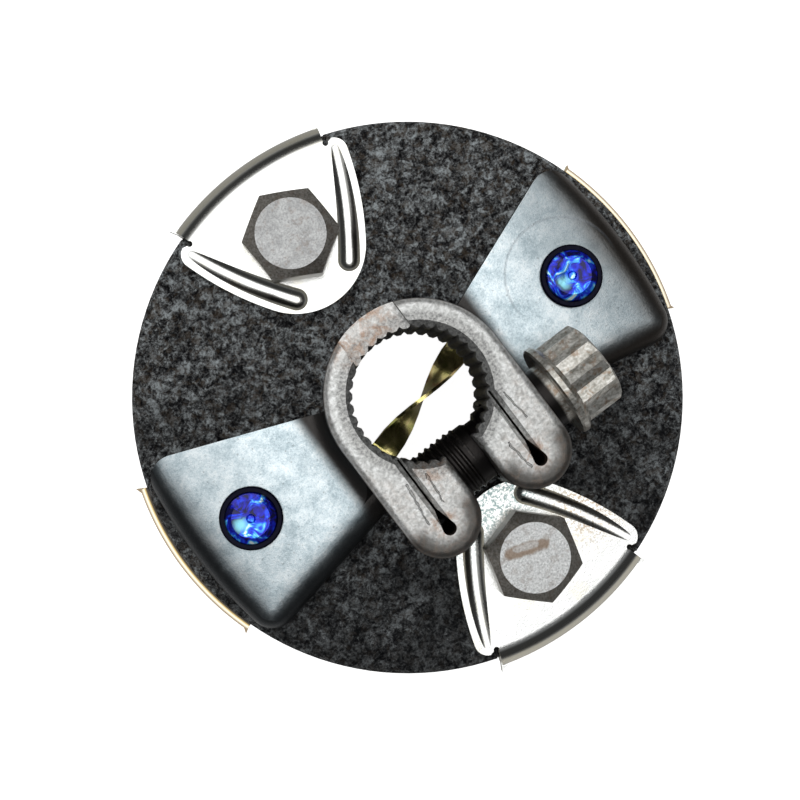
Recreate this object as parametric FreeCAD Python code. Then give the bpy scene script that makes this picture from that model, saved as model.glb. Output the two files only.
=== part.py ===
"""Steering flexible-disc coupling: split splined clamp hub on a fabric disc.

Row frame, millimetres: origin on the bore axis in the disc's rear face, +Z towards the
hub's open end, +X towards the right stop pin, +Y towards the upper column bolt.
The split of the clamp and its ears point to -Y.
"""
import FreeCAD, Part
import math
import os

V = FreeCAD.Vector
X_AXIS = V(1, 0, 0)
Z_AXIS = V(0, 0, 1)

# named clearances
RUN = 0.05           # radial running fit, threads included
SLIP = 0.10          # radial slip fit of a fastener in a punched hole
PINCH_CLEAR = 0.30   # radial, pinch bolt's plain shank in its ear
LIP_CLEAR = 0.30     # rim of the disc to the lip
OVER = 1.0           # cutters run past the faces they open by this

# fabric disc
DISC_R = 41.25       # 3 1/4 in disc
DISC_T = 9.5         # 3/8 in
DISC_HOLE_R = 11.2
DISC_EDGE = 0.6      # broken edge of the rim
STATION_INSET = 11.9
STATION_R = DISC_R - STATION_INSET   # two pins and two bolts, 58.7 mm circle

# sheet plates (one stamping, used four times)
SHEET_T = 1.2
LIP_IN_R = DISC_R + LIP_CLEAR
LIP_OUT_R = LIP_IN_R + SHEET_T
LIP_BEND_R = 2.2     # inside radius of the lip's bend
LIP_DEPTH = 6.6      # from the plate's outer face to the lip's edge
LIP_HALF_DEG = 18.0
PLATE_HALF_W = 14.8
PLATE_CORNER_Y = DISC_R - 5.85       # where the straight side ends
PLATE_CORNER = 1.1             # side and depth of the rounded corner
PLATE_CORNER_RISE = 2.3
PLATE_APEX_R = 10.4
PLATE_APEX_Y = STATION_R - 11.4
PLATE_SIDE_R = 46.0            # the sides bulge a little
RELIEF_R = 0.45                # round notch between the flat and the lip
RELIEF_OUT = 0.30
RELIEF_DOWN = 2.0
BEAD_R = 2.1                   # tool radius of the pressed bead beside each edge
BEAD_PATH = [        # x, y and depth of the bead from its thin end to its round end
    (13.2, DISC_R - 5.1, 0.08), (9.8, STATION_R - 0.2, 0.52), (4.85, STATION_R - 7.7, 0.80),
]
NIB_REACH = 0.9                # burr left at each end of the lip
NIB_DEPTH = 1.8
NIB_RISE = 0.6
SEAT_PRESS = 0.10    # disc corner stays this far inside the lip's bend
SEAT_EXTRA_DEG = 0.6

# clamp hub
ARM_T = 4.0
ARM_Z0 = DISC_T
ARM_Z1 = ARM_Z0 + ARM_T
ARM_END_X = DISC_R - 1.85
ARM_END_R = 73.0               # the end is flatter than the disc's rim
ARM_HALF_HI = 16.1             # half widths at the end, before the corners are rounded
ARM_HALF_LO = 16.4
ARM_ROOT_SINK = 2.85           # arm's root inside the loop's outer face
ARM_INNER_HI = 5.4
ARM_CORNER_R = 3.8
ARM_ROLL_R = 3.3               # rolled edge along the end and the ears' side
LOOP_R = 13.05
LOOP_SINK = 1.0                # loop's lower face below the arms' upper face
LOOP_Z0 = ARM_Z1 - LOOP_SINK
LOOP_Z1 = 30.8
ARM_INNER_X = LOOP_R - ARM_ROOT_SINK
GAP_HALF = 2.35
EAR_END_Y = -20.55
ARM_INNER_LO = EAR_END_Y + 9.75
EAR_END_R = (LOOP_R - GAP_HALF) / 2
EAR_MID_X = GAP_HALF + EAR_END_R
EDGE_R = 1.1
BEND_R = 2.6                   # inside radius where the loop turns out into an arm
BEND_SINK = 0.5
BEND_FADE = 0.2                # from the start of the rolled edge to the bend's slanted end
BEND_SWEEP = 60.0              # turned part of the bend before it is trimmed, degrees
SPLINE_TEETH = 36
SPLINE_MINOR_R = 9.10
SPLINE_MAJOR_R = 9.53
SPLINE_OPEN = 0.30             # half opening of a tooth gap, share of the pitch
BORE_CHAMFER = 0.5
BORE_MOUTH = 1.5               # depth the chamfer's cone is drawn to
FLARE_OUT = 2.2                # 45 degree flare under the spline
FLARE_IN = 0.8
SLIT_W = 0.30
SLIT_TOP_Y = -0.57 * SPLINE_MINOR_R
VALLEY_HALF_W = 0.75           # rounded fold beside the slit
VALLEY_DEPTH = 0.7
TEAR_R = 0.95
TEAR_Y = EAR_END_Y + 3.85
TEAR_TIP_Y = TEAR_Y + 3.8
NOTCH_HALF = 4.6
NOTCH_DEPTH = 1.5

# pinch bolt, 3/8-24, axis along X
PINCH_Y = EAR_END_Y + 9.15
PINCH_Z = (LOOP_Z0 + LOOP_Z1) / 2
PINCH_THREAD_R = 4.42         # threads are held at their pitch radius
PINCH_SHANK_R = 4.70
PINCH_NECK_R = 4.05
PINCH_GAP = 2.7      # stand-off of the flange from the ear, as supplied
PINCH_FLANGE_R = 7.15
PINCH_FLANGE_T = 1.8
PINCH_HEAD_AF = 11.0
PINCH_HEAD_L = 6.0
PINCH_HEAD_DIP = 0.5           # conical dimple in the head's end
PINCH_PLAIN_L = 13.4           # from the seat face to the thread's end
PINCH_NECK_L = 2.2
PINCH_STEP = 0.5
PINCH_POINT = 1.0
PINCH_END_X = 2.15 - LOOP_R

# stop pins
PIN_NECK_R = 3.90
PIN_STOP_R = 4.75
PIN_SHOULDER_R = 6.5
PIN_SHOULDER_T = 2.0
PIN_CHAMFER = 0.8
PIN_CAP = [          # peened end: radius, height above the arm
    (4.65, 0.0), (4.65, 0.45), (4.40, 0.7), (3.90, 0.7), (3.65, 1.25),
    (2.80, 1.6), (1.5, 1.45), (0.7, 1.35), (0.45, 1.0), (0, 1.0),
]
SLEEVE_OUT_R = 5.45

# column bolts, 5/16-18
BOLT_R = 3.97
BOLT_BODY_R = 4.30   # shouldered part inside the sleeve and the plate
BOLT_THREAD_R = 3.51
BOLT_HEAD_AF = 12.45
BOLT_HEAD_H = 5.5
BOLT_RUN_OUT = 0.3             # shoulder between shank and thread
BOLT_SHANK_Z = -6.5
FOOT_Z = -17.9
HEAD_TURN = {"upper": 32.5, "lower": 15.0}
WASHER_IN_R = 4.10
WASHER_OUT_R = 6.70
WASHER_T = 2.0
NUT_AF = 12.6
NUT_H = 6.7
NUT_Z0 = FOOT_Z + 1.5          # bolt stands 1.5 mm proud of the nut
NUT_TURN = 21.0
SPLIT_HALF = 0.5               # half width of the lock washer's split
HEX_TURN_R = 0.593             # turned outline and end circle, shares of the flats
HEX_FACE_R = 0.415

# ground strap
STRAP_T = 0.6
STRAP_W = 4.2
EYELET_R = 6.6
STRAP_PATH = [       # centre line in shares of the station radius
    (-0.843, -0.041), (-0.647, -0.136), (-0.460, -0.191), (-0.256, -0.153),
    (0.075, -0.053), (0.405, 0.048), (0.596, 0.085), (0.843, 0.037),
]
STRAP_STEPS = 20
TWIST_FROM_X = -0.256 * STATION_R
TWIST_TO_X = 0.405 * STATION_R


def cyl(r, z0, z1, x=0.0, y=0.0):
    return Part.makeCylinder(r, z1 - z0, V(x, y, z0), Z_AXIS)


def cyl_x(r, x0, x1, y, z):
    return Part.makeCylinder(r, x1 - x0, V(x0, y, z), X_AXIS)


def box(x0, x1, y0, y1, z0, z1):
    return Part.makeBox(x1 - x0, y1 - y0, z1 - z0, V(x0, y0, z0))


def ring(r_out, r_in, z0, z1, x=0.0, y=0.0):
    return cyl(r_out, z0, z1, x, y).cut(cyl(r_in, z0 - OVER, z1 + OVER, x, y))


def prism(points, z0, z1):
    """Prism of a closed polygon."""
    wire = Part.makePolygon([V(x, y, z0) for x, y in points + points[:1]])
    return Part.Face(wire).extrude(V(0, 0, z1 - z0))


def prism_of(edges, z0, z1):
    """Prism of a closed chain of edges drawn at z = 0."""
    face = Part.Face(Part.Wire(Part.__sortEdges__(edges)))
    face.translate(V(0, 0, z0))
    return face.extrude(V(0, 0, z1 - z0))


def seg(a, b):
    return Part.LineSegment(V(a[0], a[1], 0), V(b[0], b[1], 0)).toShape()


def arc(a, m, b):
    return Part.Arc(V(a[0], a[1], 0), V(m[0], m[1], 0), V(b[0], b[1], 0)).toShape()


def turned(profile, x=0.0, y=0.0):
    """Solid turned about the vertical line at (x, y) from (radius, z) points."""
    wire = Part.makePolygon([V(r, 0, z) for r, z in profile + profile[:1]])
    body = Part.Face(wire).revolve(V(0, 0, 0), Z_AXIS, 360)
    body.translate(V(x, y, 0))
    return body


def hexagon(across_flats, turn_deg=0.0):
    corner_r = across_flats / math.sqrt(3)
    angles = [math.radians(turn_deg + 60 * k) for k in range(6)]
    return [(corner_r * math.cos(a), corner_r * math.sin(a)) for a in angles]


def chamfered_hex(across_flats, z0, z1, turn_deg, both=False):
    """Hexagon prism with the usual 30 degree chamfer on its upper end, or both ends."""
    body = prism(hexagon(across_flats, turn_deg), z0, z1)
    corner_r = across_flats * HEX_TURN_R
    face_r = across_flats * HEX_FACE_R
    drop = (corner_r - face_r) * math.tan(math.radians(30))
    low = [(0, z0), (corner_r, z0)]
    if both:
        low = [(0, z0), (face_r, z0), (corner_r, z0 + drop)]
    high = [(corner_r, z1 - drop), (face_r, z1), (0, z1)]
    return body.common(turned(low + high))


def largest(shape):
    """The single solid of a boolean result."""
    solids = sorted(shape.Solids, key=lambda s: s.Volume)
    return solids[-1]


# ---------------------------------------------------------------- clamp hub

def loop_outline():
    r = LOOP_R
    e = EAR_END_Y + EAR_END_R
    m = EAR_MID_X
    return [
        arc((r, 0), (0, r), (-r, 0)),
        seg((-r, 0), (-r, e)),
        arc((-r, e), (-m, EAR_END_Y), (-GAP_HALF, e)),
        seg((-GAP_HALF, e), (-GAP_HALF, SLIT_TOP_Y)),
        seg((-GAP_HALF, SLIT_TOP_Y), (GAP_HALF, SLIT_TOP_Y)),
        seg((GAP_HALF, SLIT_TOP_Y), (GAP_HALF, e)),
        arc((GAP_HALF, e), (m, EAR_END_Y), (r, e)),
        seg((r, e), (r, 0)),
    ]


def edges_at(shape, z, keep=lambda e: True):
    found = []
    for edge in shape.Edges:
        b = edge.BoundBox
        if abs(b.ZMin - z) < 1e-4 and abs(b.ZMax - z) < 1e-4 and keep(edge):
            found.append(edge)
    return found


def loop_block():
    block = prism_of(loop_outline(), LOOP_Z0, LOOP_Z1)
    return block.makeFillet(EDGE_R, edges_at(block, LOOP_Z1))


def arm_end_x(y):
    """Where the arm's shallow end arc is at a given y."""
    return ARM_END_X - ARM_END_R + math.sqrt(ARM_END_R ** 2 - y ** 2)


def arm_prism(side, extra):
    """Arm outline as a prism; extra widens it on the notch side only."""
    s = side
    hi_y = ARM_HALF_HI + extra
    hi = (s * arm_end_x(hi_y), hi_y)
    lo = (s * arm_end_x(ARM_HALF_LO), -ARM_HALF_LO)
    start_hi = (s * ARM_INNER_X, ARM_INNER_HI + extra)
    start_lo = (s * ARM_INNER_X, ARM_INNER_LO)
    edges = [
        seg(start_lo, start_hi),
        seg(start_hi, hi),
        arc(hi, (s * ARM_END_X, 0), lo),
        seg(lo, start_lo),
    ]
    body = prism_of(edges, ARM_Z0, ARM_Z1)
    corners = []
    for edge in body.Edges:
        b = edge.BoundBox
        if b.ZLength > ARM_T / 2 and abs(b.Center.x) > LOOP_R + ARM_CORNER_R:
            corners.append(edge)
    return body.makeFillet(ARM_CORNER_R, corners)


def arm(side):
    """One arm: sheared square along the notch side, rolled over along the other edges."""
    wide = arm_prism(side, 2 * ARM_ROLL_R)
    rolled = edges_at(wide, ARM_Z1, lambda e: abs(e.BoundBox.Center.x) > LOOP_R)
    return arm_prism(side, 0.0).common(wide.makeFillet(ARM_ROLL_R, rolled))


def bend_section():
    """Concave section between the loop's wall and the arm's top, in the XZ plane on +X."""
    r1 = LOOP_R + BEND_R
    top = ARM_Z1 + BEND_R
    low = ARM_Z1 - BEND_SINK
    inner = LOOP_R - BEND_SINK
    d = BEND_R * math.sqrt(0.5)
    corners = [V(r1, 0, ARM_Z1), V(r1, 0, low), V(inner, 0, low), V(inner, 0, top), V(LOOP_R, 0, top)]
    curve = Part.Arc(corners[-1], V(r1 - d, 0, top - d), corners[0]).toShape()
    return Part.Face(Part.Wire([curve] + Part.makePolygon(corners).Edges))


def bend(side):
    """Fillet between the loop and one arm, ended before the arm's rolled edge."""
    ear_run = arm_end_x(ARM_HALF_LO) - ARM_INNER_X
    notch_run = arm_end_x(ARM_HALF_HI) - ARM_INNER_X
    ear_deg = math.degrees(math.atan2(ARM_INNER_LO + ARM_HALF_LO, ear_run))
    notch_deg = math.degrees(math.atan2(ARM_HALF_HI - ARM_INNER_HI, notch_run))
    straight = bend_section().extrude(V(0, EAR_END_Y, 0))
    rounded = bend_section().revolve(V(0, 0, 0), Z_AXIS, BEND_SWEEP)
    size = 2 * LOOP_R
    beyond_notch = box(-size, size, 0, size, -size, size)
    beyond_notch.rotate(V(0, 0, 0), Z_AXIS, notch_deg)
    beyond_notch.translate(V(ARM_INNER_X, ARM_INNER_HI, ARM_Z1))
    beyond_roll = box(-size, size, -size, 0, -size, size)
    beyond_roll.rotate(V(0, 0, 0), X_AXIS, -45)
    beyond_roll.rotate(V(0, 0, 0), Z_AXIS, -ear_deg)
    beyond_roll.translate(V(ARM_INNER_X, ARM_INNER_LO + ARM_ROLL_R + BEND_FADE, ARM_Z1))
    shape = straight.fuse(rounded).cut([beyond_notch, beyond_roll])
    return shape if side > 0 else shape.mirror(V(0, 0, 0), X_AXIS)


def spline_cutter(z0, z1):
    """Star prism whose tips cut the serrations and whose arcs are the minor bore."""
    step = 2 * math.pi / SPLINE_TEETH
    half = SPLINE_OPEN * step
    edges = []
    for k in range(SPLINE_TEETH):
        a = k * step

        def on(r, t):
            return (r * math.cos(t), r * math.sin(t))

        root = on(SPLINE_MAJOR_R, a)
        left = on(SPLINE_MINOR_R, a - half)
        right = on(SPLINE_MINOR_R, a + half)
        following = on(SPLINE_MINOR_R, a + step - half)
        middle = on(SPLINE_MINOR_R, a + step / 2)
        edges += [seg(left, root), seg(root, right), arc(right, middle, following)]
    return prism_of(edges, z0, z1)


def fold_slit(side):
    """Slit where the strap is folded back on itself, its valley and its end hole."""
    x = side * EAR_MID_X
    z0 = LOOP_Z0 - OVER
    z1 = LOOP_Z1 + OVER
    slit = box(x - SLIT_W / 2, x + SLIT_W / 2, TEAR_Y, SLIT_TOP_Y, z0, z1)
    tip = (x, TEAR_TIP_Y)
    tear = cyl(TEAR_R, z0, z1, x, TEAR_Y)
    a = math.acos(TEAR_R / (TEAR_TIP_Y - TEAR_Y))
    dx = TEAR_R * math.sin(a)
    dy = TEAR_R * math.cos(a)
    wedge = prism([tip, (x - dx, TEAR_Y + dy), (x + dx, TEAR_Y + dy)], z0, z1)
    w = VALLEY_HALF_W
    valley_face = Part.Face(Part.makePolygon([
        V(x - w, TEAR_Y, LOOP_Z1), V(x, TEAR_Y, LOOP_Z1 - VALLEY_DEPTH),
        V(x + w, TEAR_Y, LOOP_Z1), V(x + w, TEAR_Y, z1),
        V(x - w, TEAR_Y, z1), V(x - w, TEAR_Y, LOOP_Z1)]))
    valley = valley_face.extrude(V(0, SLIT_TOP_Y - TEAR_Y, 0))
    return slit.fuse([tear, wedge, valley])


def bore_cones():
    """Chamfer at the mouth of the spline and the flare at its lower end."""
    chamfer_r = SPLINE_MAJOR_R + BORE_CHAMFER
    mouth = Part.makeCone(
        chamfer_r - BORE_MOUTH, chamfer_r + OVER, BORE_MOUTH + OVER,
        V(0, 0, LOOP_Z1 - BORE_MOUTH), Z_AXIS)
    flare = Part.makeCone(
        SPLINE_MAJOR_R + FLARE_OUT, SPLINE_MAJOR_R - FLARE_IN, FLARE_OUT + FLARE_IN,
        V(0, 0, ARM_Z0), Z_AXIS)
    return [mouth, flare]


def clamp_hub():
    hub = loop_block().fuse([arm(1), arm(-1), bend(1), bend(-1)])
    hub = hub.removeSplitter()
    hub = hub.cut(spline_cutter(ARM_Z0 - OVER, LOOP_Z1 + OVER))
    hub = hub.cut(bore_cones())
    hub = hub.cut([fold_slit(1), fold_slit(-1)])
    hub = hub.cut(box(
        -NOTCH_HALF, NOTCH_HALF, SPLINE_MINOR_R / 2, LOOP_R + OVER,
        LOOP_Z1 - NOTCH_DEPTH, LOOP_Z1 + OVER))
    threaded = cyl_x(PINCH_THREAD_R + RUN, -LOOP_R - OVER, 0, PINCH_Y, PINCH_Z)
    clear = cyl_x(PINCH_SHANK_R + PINCH_CLEAR, 0, LOOP_R + OVER, PINCH_Y, PINCH_Z)
    hub = hub.cut([threaded, clear])
    for s in (1, -1):
        hub = hub.cut(cyl(PIN_NECK_R + SLIP, ARM_Z0 - OVER, ARM_Z1 + OVER, s * STATION_R, 0))
    return largest(hub)


def pinch_bolt():
    """Bolt drawn along +Z from its seat face, then laid along X."""
    seat_x = LOOP_R + PINCH_GAP
    end = PINCH_END_X - seat_x
    thread_to = -PINCH_PLAIN_L
    neck_to = thread_to + PINCH_NECK_L
    rim = PINCH_FLANGE_R
    shank = turned([
        (0, end), (PINCH_THREAD_R - PINCH_POINT, end), (PINCH_THREAD_R, end + PINCH_POINT),
        (PINCH_THREAD_R, thread_to), (PINCH_NECK_R, thread_to + PINCH_STEP),
        (PINCH_NECK_R, neck_to - PINCH_STEP), (PINCH_SHANK_R, neck_to), (PINCH_SHANK_R, 0),
        (rim - PINCH_STEP / 2, 0), (rim, PINCH_STEP / 2), (rim, PINCH_POINT),
        (rim - PINCH_POINT, PINCH_FLANGE_T), (0, PINCH_FLANGE_T)])
    z0 = PINCH_FLANGE_T - PINCH_STEP
    z1 = PINCH_FLANGE_T + PINCH_HEAD_L
    star = prism(hexagon(PINCH_HEAD_AF, 0), z0, z1).fuse(prism(hexagon(PINCH_HEAD_AF, 30), z0, z1))
    corner_r = PINCH_HEAD_AF / math.sqrt(3)
    trim = turned([
        (0, z0), (corner_r, z0), (corner_r, z1 - PINCH_STEP),
        (corner_r - PINCH_POINT, z1), (0, z1)])
    bolt = shank.fuse(star.common(trim)).removeSplitter()
    dip = Part.makeCone(
        0.2 * PINCH_HEAD_AF, 0.28 * PINCH_HEAD_AF, PINCH_HEAD_DIP + OVER,
        V(0, 0, z1 - PINCH_HEAD_DIP), Z_AXIS)
    bolt = bolt.cut(dip)
    bolt.rotate(V(0, 0, 0), V(0, 1, 0), 90)
    bolt.translate(V(seat_x, PINCH_Y, PINCH_Z))
    return largest(bolt)


# ---------------------------------------------------------------- stop pins

def stop_pin(side):
    shoulder_top = -SHEET_T - STRAP_T
    shoulder_low = shoulder_top - PIN_SHOULDER_T
    profile = [
        (0, FOOT_Z), (PIN_STOP_R - PIN_CHAMFER, FOOT_Z), (PIN_STOP_R, FOOT_Z + PIN_CHAMFER),
        (PIN_STOP_R, shoulder_low), (PIN_SHOULDER_R, shoulder_low),
        (PIN_SHOULDER_R, shoulder_top), (PIN_NECK_R, shoulder_top), (PIN_NECK_R, ARM_Z1)]
    cap = [(r, ARM_Z1 + h) for r, h in PIN_CAP]
    return turned(profile + cap, side * STATION_R, 0)


def pin_sleeve(side):
    return ring(SLEEVE_OUT_R, PIN_NECK_R + SLIP, 0, DISC_T, side * STATION_R, 0)


# ---------------------------------------------------------------- plates

def plate_side():
    """Convex side of the plate on +X: start on the apex circle, middle, corner."""
    cy = PLATE_APEX_Y + PLATE_APEX_R
    dx = PLATE_HALF_W
    dy = PLATE_CORNER_Y - cy
    k = PLATE_APEX_R - PLATE_SIDE_R
    along = (dx ** 2 + dy ** 2 + k ** 2 - PLATE_SIDE_R ** 2) / (2 * k)
    a = math.atan2(dy, dx) - math.acos(along / math.hypot(dx, dy))
    start = (PLATE_APEX_R * math.cos(a), cy + PLATE_APEX_R * math.sin(a))
    mx = k * math.cos(a)
    my = cy + k * math.sin(a)
    b = (a + math.atan2(PLATE_CORNER_Y - my, PLATE_HALF_W - mx)) / 2
    middle = (mx + PLATE_SIDE_R * math.cos(b), my + PLATE_SIDE_R * math.sin(b))
    return start, middle


def plate_flat(z0, z1):
    """Flat of the plate for the upper station, apex towards the axis."""
    w = PLATE_HALF_W
    y = PLATE_CORNER_Y
    c = PLATE_CORNER
    q = c / 7
    t, m = plate_side()
    lip_a = math.radians(LIP_HALF_DEG)
    bend_start = LIP_IN_R - LIP_BEND_R
    lx = bend_start * math.sin(lip_a)
    ly = bend_start * math.cos(lip_a)
    top_y = y + PLATE_CORNER_RISE
    mid_y = top_y - 0.4 * PLATE_CORNER_RISE
    edges = [
        arc(t, m, (w, y)),
        arc((w, y), (w - q, mid_y), (w - c, top_y)),
        seg((w - c, top_y), (lx, ly)),
        arc((lx, ly), (0, bend_start), (-lx, ly)),
        seg((-lx, ly), (c - w, top_y)),
        arc((c - w, top_y), (q - w, mid_y), (-w, y)),
        arc((-w, y), (-m[0], m[1]), (-t[0], t[1])),
        arc((-t[0], t[1]), (0, PLATE_APEX_Y), t),
    ]
    return prism_of(edges, z0, z1)


def lip_profile(top):
    """Half section of the lip in the XZ plane, top = outer face of the plate."""
    under = top - SHEET_T
    r0 = LIP_IN_R - LIP_BEND_R
    zc = under - LIP_BEND_R
    ri = LIP_BEND_R
    ro = LIP_BEND_R + SHEET_T
    q = math.sqrt(0.5)
    low = top - LIP_DEPTH

    def p(x, z):
        return V(x, 0, z)

    edges = [
        Part.Arc(p(r0, under), p(r0 + ri * q, zc + ri * q), p(LIP_IN_R, zc)).toShape(),
        Part.LineSegment(p(LIP_IN_R, zc), p(LIP_IN_R, low)).toShape(),
        Part.LineSegment(p(LIP_IN_R, low), p(LIP_OUT_R, low)).toShape(),
        Part.LineSegment(p(LIP_OUT_R, low), p(LIP_OUT_R, zc)).toShape(),
        Part.Arc(p(LIP_OUT_R, zc), p(r0 + ro * q, zc + ro * q), p(r0, top)).toShape(),
        Part.LineSegment(p(r0, top), p(r0, under)).toShape(),
    ]
    return Part.Face(Part.Wire(edges))


def swept_about_axis(face, half_deg):
    """Face in the XZ plane swept about Z over the upper station's sector."""
    face.rotate(V(0, 0, 0), Z_AXIS, 90 - half_deg)
    return face.revolve(V(0, 0, 0), Z_AXIS, 2 * half_deg)


def bead(side, top):
    """Pressed bead beside the plate's edge: a ball drawn along a slanting arc."""
    thin, middle, wide = [V(side * x, y, top + BEAD_R - depth) for x, y, depth in BEAD_PATH]
    path = Part.Arc(thin, middle, wide).toShape()
    along = path.tangentAt(path.FirstParameter)
    start = Part.Face(Part.Wire(Part.makeCircle(BEAD_R, thin, along)))
    turn = math.degrees(path.LastParameter - path.FirstParameter)
    groove = start.revolve(path.Curve.Center, path.Curve.Axis, turn)
    return groove.fuse([Part.makeSphere(BEAD_R, thin), Part.makeSphere(BEAD_R, wide)])


def nib(side, top):
    """Small pointed burr where the lip was sheared."""
    def at(r, deg):
        a = math.radians(90 - side * deg)
        return (r * math.cos(a), r * math.sin(a))

    z1 = top - SHEET_T - LIP_BEND_R + NIB_RISE
    points = [at(LIP_IN_R + SHEET_T / 4, LIP_HALF_DEG - 0.05), at(LIP_OUT_R - RUN, LIP_HALF_DEG - 1.3),
              at(LIP_OUT_R + NIB_REACH, LIP_HALF_DEG + 0.45)]
    return prism(points, z1 - NIB_DEPTH, z1)


def stamped_plate():
    """Plate of the upper station in its front position."""
    top = DISC_T + SHEET_T
    z0 = DISC_T - OVER
    z1 = top + OVER
    flat = plate_flat(DISC_T, top)
    lip = swept_about_axis(lip_profile(top), LIP_HALF_DEG)
    plate = flat.fuse([lip, nib(1, top), nib(-1, top)]).removeSplitter()
    cuts = [cyl(BOLT_BODY_R + SLIP, z0, z1, 0, STATION_R)]
    relief_a = math.radians(LIP_HALF_DEG)
    relief_r = LIP_IN_R - RELIEF_DOWN
    for s in (1, -1):
        x = s * (relief_r * math.sin(relief_a) + RELIEF_OUT)
        cuts.append(cyl(RELIEF_R, z0, z1, x, relief_r * math.cos(relief_a)))
        cuts.append(bead(s, top))
    return largest(plate.cut(cuts))


def front_plate(name):
    plate = stamped_plate()
    if name == "lower":
        plate.rotate(V(0, 0, 0), Z_AXIS, 180)
    return plate


def rear_plate(side):
    """The same stamping turned over, lip forwards, at a pin station."""
    plate = stamped_plate()
    plate.rotate(V(0, 0, DISC_T / 2), V(0, 1, 0), 180)
    plate.rotate(V(0, 0, 0), Z_AXIS, -90 if side > 0 else 90)
    return plate


# ---------------------------------------------------------------- disc

def lip_seat(top):
    """Corner of the fabric pressed round under a lip."""
    zc = top - SHEET_T - LIP_BEND_R
    r0 = LIP_IN_R - LIP_BEND_R
    ri = LIP_BEND_R - SEAT_PRESS
    far = r0 + 2 * LIP_BEND_R
    high = zc + 2 * LIP_BEND_R
    q = math.sqrt(0.5)

    def p(x, z):
        return V(x, 0, z)

    edges = [
        Part.Arc(p(r0, zc + ri), p(r0 + ri * q, zc + ri * q), p(r0 + ri, zc)).toShape(),
        Part.LineSegment(p(r0 + ri, zc), p(far, zc)).toShape(),
        Part.LineSegment(p(far, zc), p(far, high)).toShape(),
        Part.LineSegment(p(far, high), p(r0, high)).toShape(),
        Part.LineSegment(p(r0, high), p(r0, zc + ri)).toShape(),
    ]
    return swept_about_axis(Part.Face(Part.Wire(edges)), LIP_HALF_DEG + SEAT_EXTRA_DEG)


def flex_disc():
    disc = cyl(DISC_R, 0, DISC_T)
    rim = edges_at(disc, 0) + edges_at(disc, DISC_T)
    disc = disc.makeChamfer(DISC_EDGE, rim)
    cuts = [cyl(DISC_HOLE_R, -OVER, DISC_T + OVER)]
    for k in range(4):
        a = math.radians(90 * k)
        x = STATION_R * math.cos(a)
        y = STATION_R * math.sin(a)
        cuts.append(cyl(SLEEVE_OUT_R + RUN, -OVER, DISC_T + OVER, x, y))
    front = lip_seat(DISC_T + SHEET_T)
    for turn in (0, 180):
        seat = front.copy()
        seat.rotate(V(0, 0, 0), Z_AXIS, turn)
        cuts.append(seat)
    for turn in (-90, 90):
        seat = front.copy()
        seat.rotate(V(0, 0, DISC_T / 2), V(0, 1, 0), 180)
        seat.rotate(V(0, 0, 0), Z_AXIS, turn)
        cuts.append(seat)
    return largest(disc.cut(cuts))


# ---------------------------------------------------------------- column side

def column_y(name):
    return STATION_R if name == "upper" else -STATION_R


def column_bolt(name):
    seat = DISC_T + SHEET_T
    head = chamfered_hex(BOLT_HEAD_AF, seat, seat + BOLT_HEAD_H, HEAD_TURN[name])
    shank = turned([
        (0, FOOT_Z), (BOLT_THREAD_R - PIN_CHAMFER, FOOT_Z), (BOLT_THREAD_R, FOOT_Z + PIN_CHAMFER),
        (BOLT_THREAD_R, BOLT_SHANK_Z - BOLT_RUN_OUT), (BOLT_R, BOLT_SHANK_Z),
        (BOLT_R, 0), (BOLT_BODY_R, 0),
        (BOLT_BODY_R, seat + BOLT_RUN_OUT), (0, seat + BOLT_RUN_OUT)])
    bolt = head.fuse(shank).removeSplitter()
    bolt.translate(V(0, column_y(name), 0))
    return largest(bolt)


def bolt_sleeve(name):
    return ring(SLEEVE_OUT_R, BOLT_BODY_R + SLIP, 0, DISC_T, 0, column_y(name))


def lock_washer(name):
    z0 = NUT_Z0 + NUT_H
    body = ring(WASHER_OUT_R, WASHER_IN_R, z0, z0 + WASHER_T)
    r0 = WASHER_IN_R - OVER
    r1 = WASHER_OUT_R + OVER
    h = SPLIT_HALF
    split = prism([(r0, -1.5 * h), (r1, 0), (r1, 1.5 * h), (r0, 0)], z0 - OVER, z0 + WASHER_T + OVER)
    body = body.cut(split)
    body.translate(V(0, column_y(name), 0))
    return largest(body)


def column_nut(name):
    body = chamfered_hex(NUT_AF, NUT_Z0, NUT_Z0 + NUT_H, HEAD_TURN[name] + NUT_TURN, both=True)
    body = body.cut(cyl(BOLT_THREAD_R + RUN, NUT_Z0 - OVER, NUT_Z0 + NUT_H + OVER))
    body.translate(V(0, column_y(name), 0))
    return largest(body)


# ---------------------------------------------------------------- ground strap

def twist_at(x):
    t = (x - TWIST_FROM_X) / (TWIST_TO_X - TWIST_FROM_X)
    t = min(max(t, 0.0), 1.0)
    return math.pi * t


def strap_stations():
    """Points of the strap's centre line with a few extra ones inside the twist."""
    curve = Part.BSplineCurve()
    curve.interpolate([V(x * STATION_R, y * STATION_R, 0) for x, y in STRAP_PATH])
    first = curve.FirstParameter
    last = curve.LastParameter
    stations = []
    for k in range(STRAP_STEPS + 1):
        u = first + (last - first) * k / STRAP_STEPS
        p = curve.value(u)
        t = curve.tangent(u)[0]
        stations.append((p, t))
    return stations


def strap_section(p, t):
    side = V(-t.y, t.x, 0)
    a = twist_at(p.x)
    across = side * math.cos(a) + Z_AXIS * math.sin(a)
    thick = Z_AXIS * math.cos(a) - side * math.sin(a)
    mid = V(p.x, p.y, -SHEET_T - STRAP_T / 2)
    w = STRAP_W / 2
    h = STRAP_T / 2
    pts = [mid + across * w + thick * h, mid - across * w + thick * h,
           mid - across * w - thick * h, mid + across * w - thick * h]
    return Part.makePolygon(pts + pts[:1])


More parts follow.
